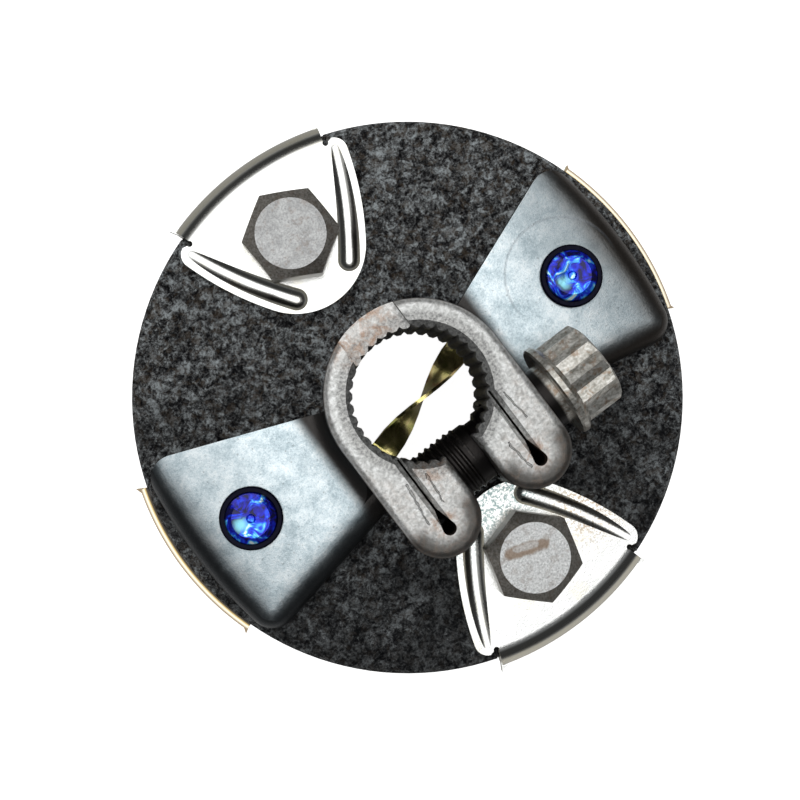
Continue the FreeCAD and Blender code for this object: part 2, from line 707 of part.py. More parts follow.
def ground_strap():
    wires = [strap_section(p, t) for p, t in strap_stations()]
    ribbon = Part.makeLoft(wires, True, True)
    z0 = -SHEET_T - STRAP_T
    z1 = -SHEET_T
    eyes = [cyl(EYELET_R, z0, z1, s * STATION_R, 0) for s in (1, -1)]
    strap = ribbon.fuse(eyes)
    holes = [cyl(PIN_NECK_R + SLIP, z0 - OVER, z1 + OVER, s * STATION_R, 0) for s in (1, -1)]
    return largest(strap.cut(holes))


# ---------------------------------------------------------------- write

def all_parts():
    parts = {
        "flex_disc": flex_disc(),
        "clamp_hub": clamp_hub(),
        "pinch_bolt": pinch_bolt(),
        "ground_strap": ground_strap(),
    }
    for name, side in (("left", -1), ("right", 1)):
        parts["stop_pin_" + name] = stop_pin(side)
        parts["pin_sleeve_" + name] = pin_sleeve(side)
        parts["rear_plate_" + name] = rear_plate(side)
    for name in ("upper", "lower"):
        parts["front_plate_" + name] = front_plate(name)
        parts["column_bolt_" + name] = column_bolt(name)
        parts["bolt_sleeve_" + name] = bolt_sleeve(name)
        parts["lock_washer_" + name] = lock_washer(name)
        parts["column_nut_" + name] = column_nut(name)
    return parts


def main():
    os.makedirs("parts", exist_ok=True)
    for name, shape in all_parts().items():
        b = shape.BoundBox
        print(name, shape.isValid(), len(shape.Solids), round(shape.Volume, 1),
              [round(v, 2) for v in (b.XMin, b.XMax, b.YMin, b.YMax, b.ZMin, b.ZMax)])
        shape.exportStep(os.path.join("parts", name + ".step"))


main()
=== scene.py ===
"""Dressed scene of the flexible-disc steering coupling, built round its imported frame.

Metres, row frame: +Z along the bore towards the hub's open end, +X towards the right stop
pin, +Y towards the upper column bolt.
"""
import math

import bmesh
import bpy
from mathutils import Matrix, Vector

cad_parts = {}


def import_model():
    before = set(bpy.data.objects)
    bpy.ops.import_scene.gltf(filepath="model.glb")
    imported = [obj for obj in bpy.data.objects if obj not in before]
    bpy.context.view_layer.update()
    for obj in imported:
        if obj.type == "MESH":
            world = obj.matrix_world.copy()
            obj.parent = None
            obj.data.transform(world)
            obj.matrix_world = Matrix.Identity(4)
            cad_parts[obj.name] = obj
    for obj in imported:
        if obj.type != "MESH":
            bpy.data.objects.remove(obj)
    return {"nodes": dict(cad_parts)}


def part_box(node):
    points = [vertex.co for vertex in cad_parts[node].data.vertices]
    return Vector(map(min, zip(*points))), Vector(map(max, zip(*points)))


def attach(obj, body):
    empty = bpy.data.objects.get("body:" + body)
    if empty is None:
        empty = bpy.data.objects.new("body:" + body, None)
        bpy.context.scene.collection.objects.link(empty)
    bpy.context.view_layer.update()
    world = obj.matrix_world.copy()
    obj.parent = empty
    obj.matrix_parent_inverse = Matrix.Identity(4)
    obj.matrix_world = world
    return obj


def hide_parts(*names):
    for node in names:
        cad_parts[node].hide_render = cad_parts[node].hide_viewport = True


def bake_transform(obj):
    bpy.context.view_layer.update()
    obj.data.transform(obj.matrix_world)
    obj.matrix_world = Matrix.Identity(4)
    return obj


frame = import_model()
for default in ("Cube", "Light", "Camera"):
    if default in bpy.data.objects:
        bpy.data.objects.remove(bpy.data.objects[default])
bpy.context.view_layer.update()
NODES = frame["nodes"]

MM = 0.001
DISC_LOW, DISC_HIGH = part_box("flex_disc")
HUB_LOW, HUB_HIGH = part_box("clamp_hub")
PINCH_LOW, PINCH_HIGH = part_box("pinch_bolt")
DISC_MID = Vector((0, 0, (DISC_LOW.z + DISC_HIGH.z) / 2))
FLOOR_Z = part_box("column_bolt_upper")[0].z
PICTURE_TURN = 0.6476     # radians from the picture's right up to the line of the pins
RIGHT = Vector((math.cos(PICTURE_TURN), -math.sin(PICTURE_TURN), 0))
UP = Vector((math.sin(PICTURE_TURN), math.cos(PICTURE_TURN), 0))
INCH = 25.4 * MM

# Marks on the hub's front face, mm seen along the bore
EAR_X = 7.7                     # each ear's middle line, where its fold slit runs
EAR_ROUND_Y = -15.2             # middle of the ears' round ends
TEAR_RUST_Y = -15.8             # rust by the torn end of each slit
NOTCH = (-1.5, 12.5)            # rusty notch in the arch
STAINED_TEETH = (-4.5, -8.8)
CREASES = (                     # end, end and half width of each hair line
    ((7.25, -7.0), (7.7, -13.0), 0.10),
    ((-7.3, -7.0), (-7.7, -13.0), 0.10),
    ((9.1, -6.6), (9.7, -11.0), 0.05),
    ((-8.8, -8.6), (-9.6, -14.6), 0.06),
    ((5.5, -12.4), (6.1, -16.8), 0.05),
    ((-5.9, -9.0), (-6.2, -13.4), 0.05),
)

# mm
PAINT_FROM = 3.6                # the pins are painted from this far in front of the hub's rear face
PINCH_HEAD = 7.9                # from the end of the pinch bolt's head to just behind its flange


def centre(node):
    low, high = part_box(node)
    return (low + high) / 2


# ---------------------------------------------------------------- node helpers

class Shader:
    """A material under construction: its node tree, and short calls for the nodes used here."""

    def __init__(self, name, **constants):
        self.material = bpy.data.materials.new(name)
        self.material.use_nodes = True
        self.tree = self.material.node_tree
        self.tree.nodes.clear()
        out = self.tree.nodes.new("ShaderNodeOutputMaterial")
        self.bsdf = self.tree.nodes.new("ShaderNodeBsdfPrincipled")
        self.tree.links.new(self.bsdf.outputs[0], out.inputs[0])
        for socket, value in constants.items():
            self.bsdf.inputs[socket.replace("_", " ")].default_value = value
        coords = self.tree.nodes.new("ShaderNodeTexCoord")
        scaled = self.vector("SCALE", coords.outputs["Object"], scale=1 / MM)
        self.mm = scaled
        self.x, self.y, self.z = self.split(scaled)
        self.nz = self.split(coords.outputs["Normal"])[2]

    def put(self, socket, target):
        if isinstance(socket, (int, float)):
            target.default_value = socket
        elif isinstance(socket, tuple):
            target.default_value = socket if len(socket) == len(target.default_value) \
                else tuple(socket) + (1,)
        else:
            self.tree.links.new(socket, target)

    def split(self, vector):
        node = self.tree.nodes.new("ShaderNodeSeparateXYZ")
        self.put(vector, node.inputs[0])
        return node.outputs[0], node.outputs[1], node.outputs[2]

    def vector(self, operation, a, b=None, scale=None):
        node = self.tree.nodes.new("ShaderNodeVectorMath")
        node.operation = operation
        self.put(a, node.inputs[0])
        if b is not None:
            self.put(b, node.inputs[1])
        if scale is not None:
            self.put(scale, node.inputs["Scale"])
        return node.outputs["Value"] if operation == "LENGTH" else node.outputs[0]

    def join(self, x, y, z):
        node = self.tree.nodes.new("ShaderNodeCombineXYZ")
        for value, socket in zip((x, y, z), node.inputs):
            self.put(value, socket)
        return node.outputs[0]

    def math(self, operation, a, b=0.0, clamp=False):
        node = self.tree.nodes.new("ShaderNodeMath")
        node.operation = operation
        node.use_clamp = clamp
        self.put(a, node.inputs[0])
        self.put(b, node.inputs[1])
        return node.outputs[0]

    def add(self, *values):
        result = values[0]
        for value in values[1:]:
            result = self.math("ADD", result, value)
        return result

    def minus(self, a, b):
        return self.math("SUBTRACT", a, b)

    def times(self, *values):
        result = values[0]
        for value in values[1:]:
            result = self.math("MULTIPLY", result, value)
        return result

    def step(self, value, low, high):
        """0 below low and 1 above high (or the other way round when low > high), smooth between."""
        node = self.tree.nodes.new("ShaderNodeMapRange")
        node.interpolation_type = "SMOOTHSTEP"
        self.put(value, node.inputs["Value"])
        if low > high:
            low, high = high, low
            node.inputs["To Min"].default_value = 1
            node.inputs["To Max"].default_value = 0
        node.inputs["From Min"].default_value = low
        node.inputs["From Max"].default_value = high
        return node.outputs[0]

    def noise(self, per_mm, detail=3.0, rough=0.5, distortion=0.0, vector=None):
        node = self.tree.nodes.new("ShaderNodeTexNoise")
        self.put(vector or self.mm, node.inputs["Vector"])
        node.inputs["Scale"].default_value = per_mm
        node.inputs["Detail"].default_value = detail
        node.inputs["Roughness"].default_value = rough
        node.inputs["Distortion"].default_value = distortion
        return node.outputs[0]

    def cells(self, per_mm, drift, reach):
        """Distance to the nearest of scattered points, in places pushed by three noises."""
        node = self.tree.nodes.new("ShaderNodeTexVoronoi")
        pushed = self.vector("ADD", self.mm, self.vector("SCALE", self.join(*drift), scale=reach))
        self.put(pushed, node.inputs["Vector"])
        node.inputs["Scale"].default_value = per_mm
        return node.outputs["Distance"]

    def ramp(self, value, *stops):
        node = self.tree.nodes.new("ShaderNodeValToRGB")
        self.put(value, node.inputs[0])
        marks = node.color_ramp.elements
        while len(marks) < len(stops):
            marks.new(0.5)
        for mark, (place, colour) in zip(marks, stops):
            mark.position = place
            mark.color = tuple(colour) + (1,)
        return node.outputs[0]

    def mix(self, amount, a, b):
        node = self.tree.nodes.new("ShaderNodeMix")
        node.data_type = "RGBA"
        self.put(amount, node.inputs["Factor"])
        self.put(a, node.inputs[6])
        self.put(b, node.inputs[7])
        return node.outputs[2]

    def blend_values(self, amount, a, b):
        node = self.tree.nodes.new("ShaderNodeMix")
        self.put(amount, node.inputs["Factor"])
        self.put(a, node.inputs[2])
        self.put(b, node.inputs[3])
        return node.outputs[0]

    def away(self, x, y):
        """Distance in mm from the line along Z at (x, y)."""
        return self.vector("LENGTH", self.join(self.minus(self.x, x), self.minus(self.y, y), 0.0))

    def from_segment(self, a, b, wobble, per_mm):
        """Distance in mm, seen along Z, from the wavy segment between two (x, y) points."""
        ax, ay = a
        dx, dy = b[0] - ax, b[1] - ay
        length2 = dx * dx + dy * dy
        wave = self.minus(self.noise(per_mm, 2.0), 0.5)
        px = self.add(self.minus(self.x, ax), self.times(wave, wobble * 2))
        py = self.minus(self.y, ay)
        along = self.math("ADD", self.times(px, dx / length2), self.times(py, dy / length2), True)
        gap_x = self.minus(px, self.times(along, dx))
        gap_y = self.minus(py, self.times(along, dy))
        return self.vector("LENGTH", self.join(gap_x, gap_y, 0.0))

    def bump(self, height, depth_mm, strength):
        node = self.tree.nodes.new("ShaderNodeBump")
        node.inputs["Strength"].default_value = strength
        node.inputs["Distance"].default_value = depth_mm * MM
        self.put(height, node.inputs["Height"])
        return node.outputs[0]

    def finish(self, colour, roughness, normal, metallic=None):
        self.put(colour, self.bsdf.inputs["Base Color"])
        self.put(roughness, self.bsdf.inputs["Roughness"])
        self.put(normal, self.bsdf.inputs["Normal"])
        if metallic is not None:
            self.put(metallic, self.bsdf.inputs["Metallic"])
        return self.material


# ---------------------------------------------------------------- materials

def fabric():
    """Rubbered fabric: mottled charcoal with blue-grey flecks, dark pits and brown specks."""
    s = Shader("rubbered_fabric", Metallic=0.0)
    broad = s.noise(0.13, 3.0, 0.6)
    patches = s.noise(0.45, 4.0, 0.65, 0.5)
    grain = s.noise(1.0, 5.0, 0.72, 0.5)
    fine = s.noise(3.2, 3.0, 0.7)
    tone = s.add(s.times(grain, 0.52), s.times(fine, 0.28), s.times(patches, 0.20))
    colour = s.ramp(tone, (0.43, (0.007, 0.007, 0.008)), (0.485, (0.052, 0.053, 0.054)),
                    (0.53, (0.180, 0.190, 0.192)), (0.595, (0.50, 0.55, 0.57)))
    brown = s.times(s.step(s.noise(0.8, 4.0, 0.7, 0.6), 0.50, 0.62), 0.55)
    colour = s.mix(brown, colour, (0.090, 0.068, 0.048))
    # Painted sheen and shade: the disc is painted lighter towards +X and +Y and near black towards -X
    # and -Y, broken up by broad noise.
    wear_and_sheen = s.add(s.times(s.x, 0.007), s.times(s.y, 0.013), s.times(s.minus(broad, 0.5), 1.6))
    wear_and_sheen = s.step(wear_and_sheen, -0.68, 0.44)
    colour = s.mix(s.minus(0.84, s.times(wear_and_sheen, 0.84)), colour, (0.008, 0.009, 0.010))
    flecks = s.step(s.cells(0.9, (grain, fine, broad), 2.0), 0.16, 0.07)
    colour = s.mix(s.times(flecks, s.step(patches, 0.45, 0.62), 0.55), colour, (0.42, 0.44, 0.45))
    side = s.step(s.math("ABSOLUTE", s.nz), 0.6, 0.3)
    ply_thick = 1.6
    plies = s.math("SINE", s.times(s.add(s.z, s.times(broad, 0.8)), 2 * math.pi / ply_thick))
    ply = s.times(side, s.step(plies, 0.55, 0.95))
    colour = s.mix(s.times(ply, 0.6), colour, (0.10, 0.085, 0.07))
    rough = s.ramp(tone, (0.42, (0.75, 0.75, 0.75)), (0.60, (0.42, 0.42, 0.42)))
    s.put(s.step(tone, 0.40, 0.62), s.bsdf.inputs["Specular IOR Level"])
    relief = s.minus(tone, s.times(ply, 0.12))
    normal = s.bump(relief, 1.1, 0.9)
    return s.finish(colour, rough, normal)


def arm_tone(s, grain, broad):
    """Blue-grey satin of the arms under a painted sheen, brightest by the hub, and painted shade, nearly
    black, over the rolled edges and where the arms bend up into the hub.
    """
    out = s.math("ABSOLUTE", s.x)
    cloud = s.noise(0.35, 4.0, 0.6, 0.4)
    specks = s.noise(4.6, 3.0, 0.75)
    tone = s.add(s.times(grain, 0.33), s.times(cloud, 0.40), s.times(specks, 0.27))
    bright = s.ramp(tone, (0.40, (0.36, 0.45, 0.49)), (0.50, (0.62, 0.72, 0.76)),
                    (0.59, (0.88, 0.95, 0.97)))
    # Painted sheen: the arms are painted darker towards their ends, more so on the right-hand arm.
    painted_sheen_fade = s.add(s.times(s.step(out, 19.0, 33.0), 0.42), s.times(s.step(s.x, 20.0, 36.0), 0.28))
    colour = s.mix(painted_sheen_fade, bright, (0.18, 0.20, 0.21))
    pits = s.step(s.cells(0.80, (grain, cloud, grain), 1.5), 0.15, 0.06)
    colour = s.mix(s.times(pits, 0.55), colour, (0.12, 0.13, 0.13))
    # Painted shade: near black over the arms' rounded ends, along the ear side and over the rolled
    # faces, brownish on the right-hand arm.
    end = s.step(s.add(out, s.times(broad, 1.6)), 33.2, 38.4)
    from_ear_side = s.add(s.y, 8.75, s.times(out, 0.205))
    ear_side = s.step(s.minus(from_ear_side, s.times(broad, 1.2)), 5.0, 0.6)
    rolled = s.times(s.step(s.nz, 0.99, 0.80), s.step(out, 15.8, 17.5))
    dark = s.math("MAXIMUM", s.math("MAXIMUM", end, ear_side), rolled)
    shadow = s.mix(s.step(s.x, -5.0, 5.0), (0.028, 0.030, 0.032), (0.046, 0.037, 0.030))
    colour = s.mix(s.times(dark, 0.97), colour, shadow)
    # Painted shade where the arms bend up into the hub.
    return s.mix(s.step(out, 16.9, 14.6), colour, (0.045, 0.042, 0.040))


def face_tone(s, grain, broad):
    """Worn grey of the strap's front face, with painted shade round the ends of the ears."""
    wear_and_sheen = s.add(s.times(s.noise(1.2, 4.0, 0.6, 0.5), 0.5), s.times(grain, 0.5))
    face = s.ramp(wear_and_sheen, (0.36, (0.38, 0.385, 0.375)), (0.50, (0.63, 0.635, 0.62)),
                  (0.64, (0.90, 0.91, 0.90)))
    # Painted shade: the ears' round ends are painted dark.
    lobes = s.math("MINIMUM", s.away(EAR_X, EAR_ROUND_Y), s.away(-EAR_X, EAR_ROUND_Y))
    ends = s.times(s.step(s.add(lobes, broad), 2.2, 4.6), s.step(s.y, -13.0, -16.0))
    return s.mix(s.times(ends, 0.93), face, (0.070, 0.067, 0.061))


def rust_on_face(s, on_face):
    """How rusty the front face is: at the notch, the bore's rim, some teeth and the torn slits."""
    notch = s.times(s.step(s.away(*NOTCH), 7.0, 3.0), on_face)
    rim = s.times(s.step(s.away(0, 0), 11.9, 13.0), on_face, 0.18)
    teeth = s.times(s.step(s.away(*STAINED_TEETH), 3.6, 1.2), on_face)
    right = s.times(s.step(s.away(EAR_X, TEAR_RUST_Y), 2.6, 1.2), on_face)
    left = s.times(s.step(s.away(-EAR_X, TEAR_RUST_Y), 2.6, 1.2), on_face)
    spots = s.times(s.add(teeth, s.add(right, left)), 0.7)
    where = s.math("ADD", s.add(s.times(notch, 0.8), rim), spots, True)
    blotches = s.step(s.noise(0.75, 4.0, 0.7, 0.8), 0.42, 0.66)
    return s.times(where, s.add(s.times(blotches, 0.70), 0.10))


def creases_on_face(s, on_face):
    """Hair lines beside the ears' folds."""
    creases = None
    for a, b, width in CREASES:
        line = s.step(s.from_segment(a, b, 0.35, 1.1), width + 0.12, width)
        creases = line if creases is None else s.math("MAXIMUM", creases, line)
    return s.times(creases, on_face, s.step(s.nz, 0.5, 0.8))


def strap_steel():
    """The hub: satin arms, a grey front face with wear and rust marks, and walls painted near black as
    shade.
    """
    s = Shader("hub_strap_steel", Metallic=0.9)
    top_z = HUB_HIGH.z / MM
    grain = s.noise(2.4, 4.0, 0.68)
    fine = s.noise(6.0, 2.0, 0.6)
    broad = s.noise(0.22, 3.0, 0.6)
    on_face = s.step(s.z, top_z - 3.4, top_z - 1.6)
    colour = s.mix(on_face, arm_tone(s, grain, broad), face_tone(s, grain, broad))
    # Painted shade: the hub's walls are painted in the near-black tone below.
    painted_shade_on_walls = s.times(s.step(s.math("ABSOLUTE", s.nz), 0.62, 0.22), s.step(s.z, 13.6, 15.0))
    scale = s.ramp(grain, (0.35, (0.012, 0.011, 0.011)), (0.7, (0.060, 0.055, 0.050)))
    colour = s.mix(s.times(painted_shade_on_walls, 0.93), colour, scale)
    teeth = s.times(s.step(s.away(0, 0), 11.6, 10.9), s.step(s.z, top_z - 7.0, top_z - 1.0))
    cut_steel = s.ramp(grain, (0.38, (0.15, 0.15, 0.15)), (0.62, (0.55, 0.55, 0.53)))
    colour = s.mix(s.times(teeth, 0.8), colour, cut_steel)
    rust = s.ramp(fine, (0.35, (0.28, 0.150, 0.085)), (0.68, (0.56, 0.36, 0.24)))
    colour = s.mix(rust_on_face(s, on_face), colour, rust)
    creases = creases_on_face(s, on_face)
    colour = s.mix(s.times(creases, 0.42), colour, (0.030, 0.025, 0.022))
    pin_x = centre("stop_pin_right").x / MM
    ring = s.math("ABSOLUTE", s.minus(s.away(pin_x - 0.8, 0.8), 8.6))
    ring = s.times(s.step(ring, 0.30, 0.05), s.step(s.y, -2.0, 3.0), 0.35)
    colour = s.mix(ring, colour, (0.20, 0.22, 0.24))
    rough = s.add(s.times(grain, 0.22), s.blend_values(on_face, 0.26, 0.36), s.times(painted_shade_on_walls, 0.12))
    relief = s.add(s.times(grain, 0.6), s.times(fine, 0.4))
    relief = s.minus(relief, s.add(s.times(creases, 1.2), s.times(ring, 0.5)))
    return s.finish(colour, rough, s.bump(relief, 0.09, 0.8))


def bright_zinc():
    """Bright zinc on pressed sheet: fine orange peel, scratches, painted shade on the lip bends, painted
    light and shade on the lips' slopes, teal and brown specks.
    """
    s = Shader("bright_zinc")
    broad = s.noise(0.35, 2.0)
    fine = s.noise(5.0, 2.0, 0.6)
    stretch = s.join(s.times(s.x, 0.4), s.times(s.y, 5.0), s.z)
    scratch = s.step(s.noise(1.2, 3.0, 0.6, 0.3, stretch), 0.62, 0.70)
    colour = s.ramp(broad, (0.3, (0.78, 0.79, 0.77)), (0.7, (0.88, 0.88, 0.86)))
    yellow = s.times(s.step(s.noise(0.25, 3.0), 0.52, 0.66), 0.22)
    colour = s.mix(yellow, colour, (0.74, 0.66, 0.42))
    # Teal specks near the hub and brown specks towards the lower plate's +X side.
    near_hub = s.times(s.step(s.y, -27.5, -20.0), s.step(s.y, -5.0, -10.0))
    brown_side = s.times(s.step(s.y, -37.0, -30.0), s.step(s.y, -22.0, -27.0), s.step(s.x, 5.0, 9.0))
    speckle = s.step(s.noise(2.4, 4.0, 0.75), 0.47, 0.56)
    colour = s.mix(s.times(near_hub, speckle, 0.85), colour, (0.11, 0.19, 0.19))
    colour = s.mix(s.times(brown_side, speckle, 0.70), colour, (0.30, 0.19, 0.08))
    # Painted shade along the lips' bends.
    bend = s.times(s.step(s.nz, 0.992, 0.96), s.step(s.nz, 0.74, 0.88))
    colour = s.mix(s.times(bend, 0.85), colour, (0.07, 0.068, 0.06))
    # Painted light on the lower plate's lip slope and painted shade on the upper plate's lip slope.
    side = s.step(s.nz, 0.86, 0.72)
    lip_painted_light_and_shade = s.mix(s.step(s.y, -5.0, 5.0), (0.86, 0.80, 0.64), (0.30, 0.28, 0.21))
    colour = s.mix(s.times(side, 0.85), colour, lip_painted_light_and_shade)
    rough = s.add(s.times(fine, 0.14), 0.14, s.times(scratch, 0.08))
    relief = s.add(s.times(broad, 0.6), s.times(fine, 0.5))
    return s.finish(colour, rough, s.bump(relief, 0.05, 0.6), s.minus(1.0, s.times(side, 0.6)))


def gold_zinc():
    """Yellow chromate zinc: straw gold with green and orange tints, and painted shade and a painted
    highlight along the lips' rim.
    """
    s = Shader("gold_zinc", Metallic=1.0)
    broad = s.noise(0.30, 3.0, 0.6, 0.8)
    fine = s.noise(4.0, 2.0)
    colour = s.ramp(broad, (0.30, (0.42, 0.46, 0.13)), (0.45, (0.74, 0.66, 0.25)),
                    (0.58, (0.82, 0.70, 0.32)), (0.72, (0.72, 0.40, 0.16)))
    past_disc = s.minus(s.vector("LENGTH", s.join(s.x, s.y, 0.0)), DISC_HIGH.x / MM)
    lip = s.times(s.step(past_disc, -0.5, -0.1), s.step(s.nz, 0.3, 0.6))
    # Painted shade next to the disc, then gold, a painted cream highlight and a dark line out towards
    # the lips' edge.
    painted_rim_shade_and_glint = s.ramp(s.times(past_disc, 0.6),
                  (0.0, (0.02, 0.015, 0.01)), (0.40, (0.06, 0.05, 0.04)), (0.50, (0.46, 0.34, 0.14)),
                  (0.64, (0.80, 0.74, 0.60)), (0.84, (0.22, 0.17, 0.11)))
    colour = s.mix(lip, colour, painted_rim_shade_and_glint)
    relief = s.add(s.times(broad, 2.0), s.times(fine, 0.4))
    return s.finish(colour, s.add(s.times(fine, 0.14), 0.14), s.bump(relief, 0.05, 0.5))


def bolt_steel():
    """Column bolt: a grainy forged top painted light as a highlight, chamfers and flats painted dark as
    shade, brown marks.
    """
    s = Shader("bolt_head_steel", Metallic=0.8)
    grain = s.noise(3.2, 4.0, 0.7)
    fine = s.noise(8.0, 2.0)
    # Painted light on the heads' tops and painted shade on their chamfers and flats.
    top = s.step(s.nz, 0.90, 0.985)
    light = s.ramp(s.add(s.times(grain, 0.7), s.times(fine, 0.3)),
                   (0.30, (0.24, 0.24, 0.24)), (0.50, (0.60, 0.61, 0.605)), (0.68, (0.92, 0.93, 0.92)))
    # The upper bolt's top is painted darker in blotches.
    cloud = s.step(s.noise(0.55, 3.0, 0.6, 0.4), 0.40, 0.60)
    darker_upper_top = s.times(s.step(s.y, -5.0, 5.0), s.blend_values(cloud, 0.62, 0.42))
    light = s.mix(darker_upper_top, light, (0.16, 0.16, 0.16))
    dark = s.ramp(grain, (0.35, (0.165, 0.152, 0.135)), (0.70, (0.430, 0.405, 0.365)))
    colour = s.mix(top, dark, light)
    lower = centre("column_bolt_lower") / MM
    stain = s.from_segment((lower.x - 2.4, lower.y + 2.6), (lower.x + 2.2, lower.y + 0.9), 1.6, 0.5)
    hollow = s.from_segment((lower.x - 1.6, lower.y + 2.6), (lower.x + 1.2, lower.y + 1.6), 1.0, 0.6)
    ring = s.math("SUBTRACT", s.step(stain, 1.15, 0.55), s.times(s.step(hollow, 0.7, 0.3), 0.6), True)
    colour = s.mix(s.times(ring, top, 0.75), colour, (0.20, 0.115, 0.05))
    brown = s.times(s.step(s.noise(0.9, 3.0, 0.6), 0.52, 0.66), 0.30)
    colour = s.mix(brown, colour, (0.16, 0.10, 0.065))
    relief = s.add(grain, s.times(fine, 0.5))
    return s.finish(colour, s.add(s.times(grain, 0.25), 0.26), s.bump(relief, 0.05, 0.7))


def pinch_steel():
    """Pinch bolt head: warm olive-grey steel, brown along the flutes; the shank is black."""
    s = Shader("pinch_bolt_steel", Metallic=0.85)
    grain = s.noise(2.5, 4.0, 0.65)
    along_axis = s.join(s.times(s.x, 0.7), s.times(s.y, 1.4), s.times(s.z, 1.4))
    tone = s.add(s.times(grain, 0.45), s.times(s.noise(0.8, 3.0, 0.6, 0.6, along_axis), 0.55))
    colour = s.ramp(tone, (0.38, (0.24, 0.23, 0.20)), (0.50, (0.50, 0.485, 0.44)),
                    (0.62, (0.78, 0.77, 0.73)))
    rust = s.times(s.step(s.noise(0.8, 4.0, 0.7, 0.6), 0.52, 0.64), 0.55)
    colour = s.mix(rust, colour, (0.27, 0.145, 0.065))
    flange_x = PINCH_HIGH.x / MM - PINCH_HEAD
    shank = s.step(s.x, flange_x - 0.4, flange_x - 1.0)
    colour = s.mix(shank, colour, (0.018, 0.016, 0.015))
    return s.finish(colour, s.add(s.times(grain, 0.25), 0.24), s.bump(tone, 0.06, 0.7))


def black_thread():
    """Oily black thread of the pinch bolt."""
    s = Shader("black_thread_steel", Metallic=0.7)
    grain = s.noise(3.0, 3.0)
    colour = s.ramp(grain, (0.35, (0.010, 0.009, 0.009)), (0.7, (0.045, 0.040, 0.036)))
    return s.finish(colour, s.add(s.times(grain, 0.2), 0.22), s.bump(grain, 0.03, 0.5))


def plain_steel():
    """Nuts, washers, sleeves and bolt threads at the back."""
    s = Shader("plain_fastener_steel", Metallic=0.9)
    grain = s.noise(2.5, 4.0, 0.6)
    broad = s.noise(0.4, 3.0)
    colour = s.ramp(s.add(s.times(grain, 0.5), s.times(broad, 0.5)),
                    (0.36, (0.25, 0.245, 0.235)), (0.64, (0.50, 0.495, 0.48)))
    return s.finish(colour, s.add(s.times(grain, 0.2), 0.26), s.bump(grain, 0.04, 0.6))


def blue_paint():
    """Riveted pin head under glossy blue paint, with painted glints and a painted ring of shade round
    the dome; bare steel behind the arm.
    """
    s = Shader("blue_painted_pin", Coat_Roughness=0.06)
    head_z = HUB_LOW.z / MM + PAINT_FROM
    pin_x = centre("stop_pin_right").x / MM
    out = s.vector("LENGTH", s.join(s.minus(s.math("ABSOLUTE", s.x), pin_x), s.y, 0.0))
    swirl = s.math("SINE", s.add(s.times(out, 5.0), s.times(s.noise(0.6, 3.0), 9.0)))
    cloud = s.noise(0.45, 2.0, 0.6, 1.2)
    # Painted highlights: the lightest tones of the blue run to cyan and white glints.
    blue = s.ramp(cloud, (0.38, (0.001, 0.001, 0.07)), (0.47, (0.003, 0.005, 0.50)),
                  (0.56, (0.006, 0.07, 0.90)), (0.63, (0.08, 0.55, 1.0)), (0.70, (0.85, 1.0, 1.0)))
    # Painted shade: a near-black ring round each dome.
    blue = s.mix(s.step(out, 3.55, 3.9), blue, (0.001, 0.001, 0.010))
    # Painted glint: a pale cyan patch to one side of each pin's dome.
    painted_glint_offset = RIGHT * -1.3 + UP * -0.9
    for side in (-1, 1):
        painted_glint_distance = s.add(s.away(side * pin_x + painted_glint_offset.x, painted_glint_offset.y), s.times(cloud, 1.2))
        blue = s.mix(s.times(s.step(painted_glint_distance, 2.1, 0.7), 0.8), blue, (0.30, 0.85, 1.0))
    steel = s.ramp(s.noise(2.5, 4.0), (0.36, (0.22, 0.22, 0.21)), (0.64, (0.46, 0.455, 0.44)))
    painted = s.step(s.z, head_z, head_z + 0.3)
    colour = s.mix(painted, steel, blue)
    dome = s.times(painted, s.step(out, 3.95, 3.65))
    s.put(s.times(dome, 0.55), s.bsdf.inputs["Coat Weight"])
    s.put(s.blend_values(painted, 0.5, 0.2), s.bsdf.inputs["Specular IOR Level"])
    rough = s.blend_values(dome, 0.42, 0.20)
    relief = s.times(s.add(s.times(swirl, 0.06), s.times(cloud, 1.2)), painted)
    return s.finish(colour, rough, s.bump(relief, 0.20, 0.5), s.blend_values(painted, 0.9, 0.55))


# ---------------------------------------------------------------- pieces

def mesh_object(name, bm):
    data = bpy.data.meshes.new(name)
    bm.to_mesh(data)
    bm.free()
    piece = bpy.data.objects.new(name, data)
    bpy.context.scene.collection.objects.link(piece)
    return piece


def shade(piece, degrees=30):
    piece.data.polygons.foreach_set("use_smooth", [True] * len(piece.data.polygons))
    piece.data.set_sharp_from_angle(angle=math.radians(degrees))


def paint(piece, material):
    piece.data.materials.clear()
    piece.data.materials.append(material)


def keep_side(bm, normal):
    """Cuts a mesh by a plane through the origin and keeps the side that the normal points to."""
    geometry = bm.verts[:] + bm.edges[:] + bm.faces[:]
    bmesh.ops.bisect_plane(bm, geom=geometry, plane_co=(0, 0, 0), plane_no=normal, clear_inner=True)


def add_cuts(bm, normal, low, high, count):
    """Rows of edges across the normal, so that the mesh can bend."""
    for k in range(1, count):
        at = Vector(normal) * (low + (high - low) * k / count)
        geometry = bm.verts[:] + bm.edges[:] + bm.faces[:]
        bmesh.ops.bisect_plane(bm, geom=geometry, plane_co=at, plane_no=normal)


def heading(angle):
    return Vector((math.cos(angle), math.sin(angle), 0))


